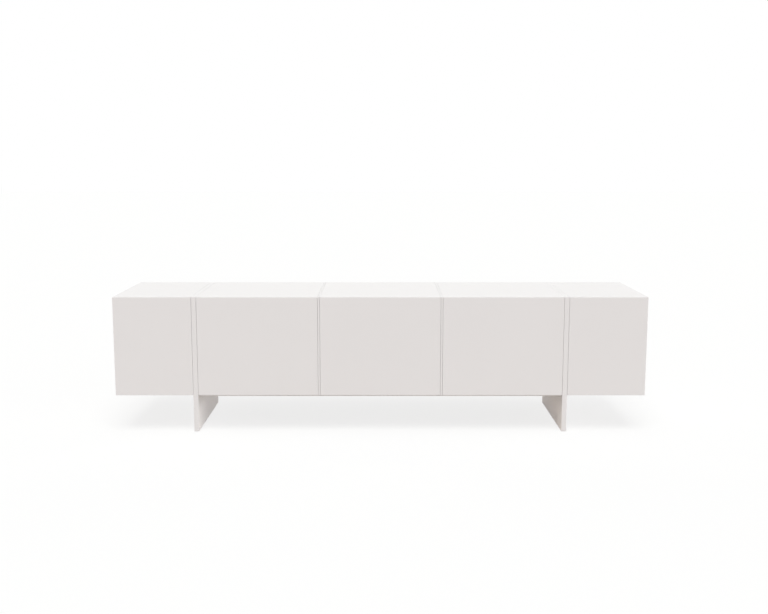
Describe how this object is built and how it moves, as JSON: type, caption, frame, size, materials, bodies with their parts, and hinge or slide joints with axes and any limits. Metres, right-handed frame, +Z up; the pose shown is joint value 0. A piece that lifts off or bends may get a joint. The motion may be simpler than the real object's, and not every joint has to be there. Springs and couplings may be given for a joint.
{
  "type": "tv stand with doors",
  "caption": "Low, long media cabinet on full-height panel legs, with flush handle-less push-to-open doors, loose shelves inside and cable outlets in the back.",
  "frame": {"origin": "centre of the footprint, on the floor", "axes": "+X along the length to the right as seen from the front, doors face -Y, +Z up"},
  "size_m": [2.2, 0.5, 0.568],
  "materials": {
    "lacquer": "matt lacquered fibreboard",
    "back_board": "matt melamine board",
    "plated_steel": "zinc plated",
    "grey_plastic": "moulded",
    "black_plastic": "moulded",
    "pale_plastic": "moulded"
  },
  "bodies": {
    "cabinet": {"leg_panel_left": "lacquer", "leg_panel_right": "lacquer", "divider_left": "lacquer", "divider_right": "lacquer", "end_panel_left": "lacquer", "end_panel_right": "lacquer", "top_panel_left_end": "lacquer", "top_panel_left": "lacquer", "top_panel_centre": "lacquer", "top_panel_right": "lacquer", "top_panel_right_end": "lacquer", "bottom_panel_left_end": "lacquer", "bottom_panel_left": "lacquer", "bottom_panel_centre": "lacquer", "bottom_panel_right": "lacquer", "bottom_panel_right_end": "lacquer", "back_panel_left_end": "back_board", "back_panel_left": "back_board", "back_panel_centre": "back_board", "back_panel_right": "back_board", "back_panel_right_end": "back_board", "shelf_left_end": "lacquer", "shelf_left": "lacquer", "shelf_centre": "lacquer", "shelf_right": "lacquer", "shelf_right_end": "lacquer", "latch_housings": "grey_plastic", "cabinet_hinge_leaves": "plated_steel", "hinge_pins": "plated_steel", "cabinet_screws": "plated_steel", "shelf_pins": "plated_steel", "knock_down_connectors": "plated_steel", "stiffening_rail": "lacquer", "floor_glides": "black_plastic", "cable_outlet_liners": "pale_plastic"},
    "left_end_door": {"door_left_end": "lacquer", "hinge_leaves_left_end": "plated_steel", "door_screws_left_end": "plated_steel", "strike_plate_left_end": "plated_steel"},
    "left_end_latch": {"latch_plunger_left_end": "grey_plastic"},
    "left_door": {"door_left": "lacquer", "hinge_leaves_left": "plated_steel", "door_screws_left": "plated_steel", "strike_plate_left": "plated_steel"},
    "left_latch": {"latch_plunger_left": "grey_plastic"},
    "centre_door": {"door_centre": "lacquer", "hinge_leaves_centre": "plated_steel", "door_screws_centre": "plated_steel", "strike_plate_centre": "plated_steel"},
    "centre_latch": {"latch_plunger_centre": "grey_plastic"},
    "right_door": {"door_right": "lacquer", "hinge_leaves_right": "plated_steel", "door_screws_right": "plated_steel", "strike_plate_right": "plated_steel"},
    "right_latch": {"latch_plunger_right": "grey_plastic"},
    "right_end_door": {"door_right_end": "lacquer", "hinge_leaves_right_end": "plated_steel", "door_screws_right_end": "plated_steel", "strike_plate_right_end": "plated_steel"},
    "right_end_latch": {"latch_plunger_right_end": "grey_plastic"}
  },
  "joints": [
    {"name": "left_end_door_hinge", "type": "hinge", "parent": "cabinet", "child": "left_end_door", "pos_m": [-1.087, -0.2455, 0.362], "axis": [0, 0, -1], "range_deg": [0, 90]},
    {"name": "left_end_latch_slide", "type": "slide", "parent": "cabinet", "child": "left_end_latch", "axis": [0, -1, 0], "range_m": [0, 0.014]},
    {"name": "left_door_hinge", "type": "hinge", "parent": "cabinet", "child": "left_door", "pos_m": [-0.74325, -0.2455, 0.362], "axis": [0, 0, -1], "range_deg": [0, 90]},
    {"name": "left_latch_slide", "type": "slide", "parent": "cabinet", "child": "left_latch", "axis": [0, -1, 0], "range_m": [0, 0.014]},
    {"name": "centre_door_hinge", "type": "hinge", "parent": "cabinet", "child": "centre_door", "pos_m": [-0.23592, -0.2455, 0.362], "axis": [0, 0, -1], "range_deg": [0, 90]},
    {"name": "centre_latch_slide", "type": "slide", "parent": "cabinet", "child": "centre_latch", "axis": [0, -1, 0], "range_m": [0, 0.014]},
    {"name": "right_door_hinge", "type": "hinge", "parent": "cabinet", "child": "right_door", "pos_m": [0.74325, -0.2455, 0.362], "axis": [0, 0, 1], "range_deg": [0, 90]},
    {"name": "right_latch_slide", "type": "slide", "parent": "cabinet", "child": "right_latch", "axis": [0, -1, 0], "range_m": [0, 0.014]},
    {"name": "right_end_door_hinge", "type": "hinge", "parent": "cabinet", "child": "right_end_door", "pos_m": [1.087, -0.2455, 0.362], "axis": [0, 0, 1], "range_deg": [0, 90]},
    {"name": "right_end_latch_slide", "type": "slide", "parent": "cabinet", "child": "right_end_latch", "axis": [0, -1, 0], "range_m": [0, 0.014]}
  ],
  "couplings": [
    {"joint": "left_end_latch_slide", "follows": "left_end_door_hinge", "m_per_rad": 0.0089},
    {"joint": "left_latch_slide", "follows": "left_door_hinge", "m_per_rad": 0.0089},
    {"joint": "centre_latch_slide", "follows": "centre_door_hinge", "m_per_rad": 0.0089},
    {"joint": "right_latch_slide", "follows": "right_door_hinge", "m_per_rad": 0.0089},
    {"joint": "right_end_latch_slide", "follows": "right_end_door_hinge", "m_per_rad": 0.0089}
  ]
}
